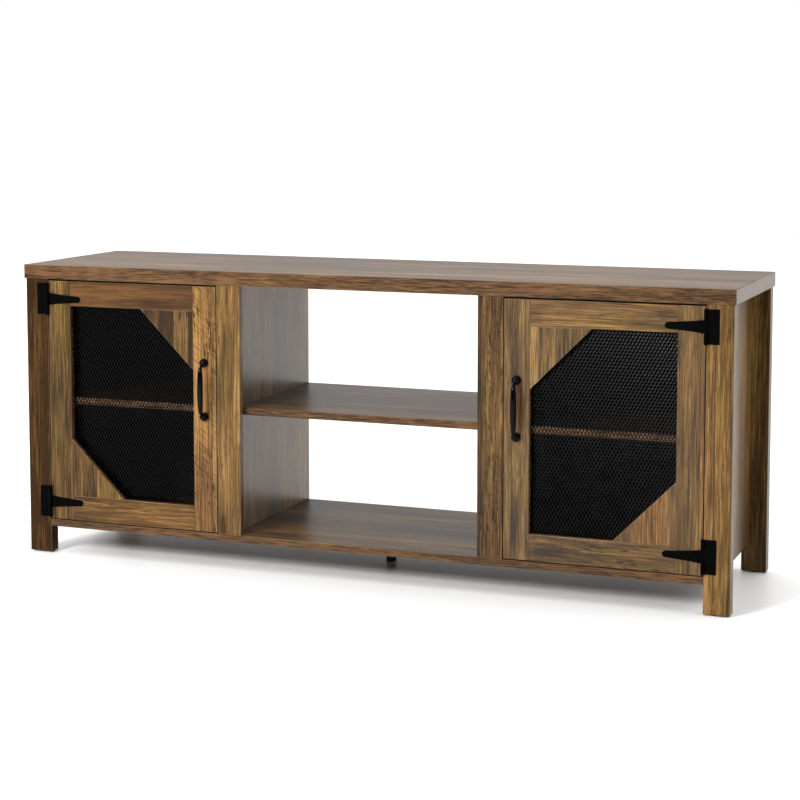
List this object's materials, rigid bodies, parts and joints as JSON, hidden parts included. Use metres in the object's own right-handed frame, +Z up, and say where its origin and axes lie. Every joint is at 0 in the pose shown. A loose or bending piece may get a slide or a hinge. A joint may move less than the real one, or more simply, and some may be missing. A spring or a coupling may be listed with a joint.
{
  "type": "tv stand with doors",
  "caption": "Low wide TV stand with mesh-fronted hinged door cabinets either side of an open bay with a shelf.",
  "frame": {"origin": "on the floor, under the middle of the whole outline with the handles", "axes": "+X to the right along the width, -Y to the front, +Z up"},
  "size_m": [1.5, 0.4186, 0.61],
  "materials": {
    "oak_laminate": "satin rustic oak foil with a printed grain",
    "hardboard": "smooth painted dark face",
    "batten": "matte stained softwood",
    "beech": "plain",
    "mesh": "satin black expanded metal",
    "black_iron": "matte black powder coat",
    "handle_black": "semi-gloss black",
    "zinc": "bright zinc plate",
    "black_plastic": "matte"
  },
  "bodies": {
    "carcass": {"top_panel": "oak_laminate", "bottom_panel": "oak_laminate", "left_side_panel": "oak_laminate", "right_side_panel": "oak_laminate", "front_left_post": "oak_laminate", "front_right_post": "oak_laminate", "rear_left_post": "oak_laminate", "rear_right_post": "oak_laminate", "left_divider": "oak_laminate", "right_divider": "oak_laminate", "left_divider_stile": "oak_laminate", "right_divider_stile": "oak_laminate", "centre_shelf": "oak_laminate", "left_cabinet_shelf": "oak_laminate", "right_cabinet_shelf": "oak_laminate", "left_back_panel": "hardboard", "right_back_panel": "hardboard", "back_panel_nails": "zinc", "centre_leg": "black_plastic", "post_glides": "black_plastic", "cam_bolts": "zinc", "cam_locks": "zinc", "dowels": "beech", "long_screws": "zinc", "shelf_pins": "zinc", "left_hinge_plates": "black_iron", "right_hinge_plates": "black_iron", "hinge_pins": "black_iron", "carcass_screws": "black_iron", "left_catch": "black_plastic", "right_catch": "black_plastic"},
    "foot": {"levelling_foot": "black_plastic"},
    "left_door": {"left_door_hinge_stile": "oak_laminate", "left_door_latch_stile": "oak_laminate", "left_door_top_rail": "oak_laminate", "left_door_bottom_rail": "oak_laminate", "left_door_upper_gusset": "oak_laminate", "left_door_lower_gusset": "oak_laminate", "left_door_mesh": "mesh", "left_door_mesh_strips": "batten", "left_door_hinge_straps": "black_iron", "left_door_screws": "black_iron", "left_door_handle": "handle_black", "left_door_handle_bolts": "zinc", "left_door_strike_plate": "zinc"},
    "right_door": {"right_door_hinge_stile": "oak_laminate", "right_door_latch_stile": "oak_laminate", "right_door_top_rail": "oak_laminate", "right_door_bottom_rail": "oak_laminate", "right_door_upper_gusset": "oak_laminate", "right_door_lower_gusset": "oak_laminate", "right_door_mesh": "mesh", "right_door_mesh_strips": "batten", "right_door_hinge_straps": "black_iron", "right_door_screws": "black_iron", "right_door_handle": "handle_black", "right_door_handle_bolts": "zinc", "right_door_strike_plate": "zinc"}
  },
  "joints": [
    {"name": "left_door_hinge", "type": "hinge", "parent": "carcass", "child": "left_door", "pos_m": [-0.6946, -0.18605, 0.326], "axis": [0, 0, -1], "range_deg": [0, 180]},
    {"name": "right_door_hinge", "type": "hinge", "parent": "carcass", "child": "right_door", "pos_m": [0.6946, -0.18605, 0.326], "axis": [0, 0, 1], "range_deg": [0, 180]},
    {"name": "foot_height", "type": "slide", "parent": "carcass", "child": "foot", "axis": [0, 0, -1], "range_m": [-0.005, 0.01]}
  ]
}
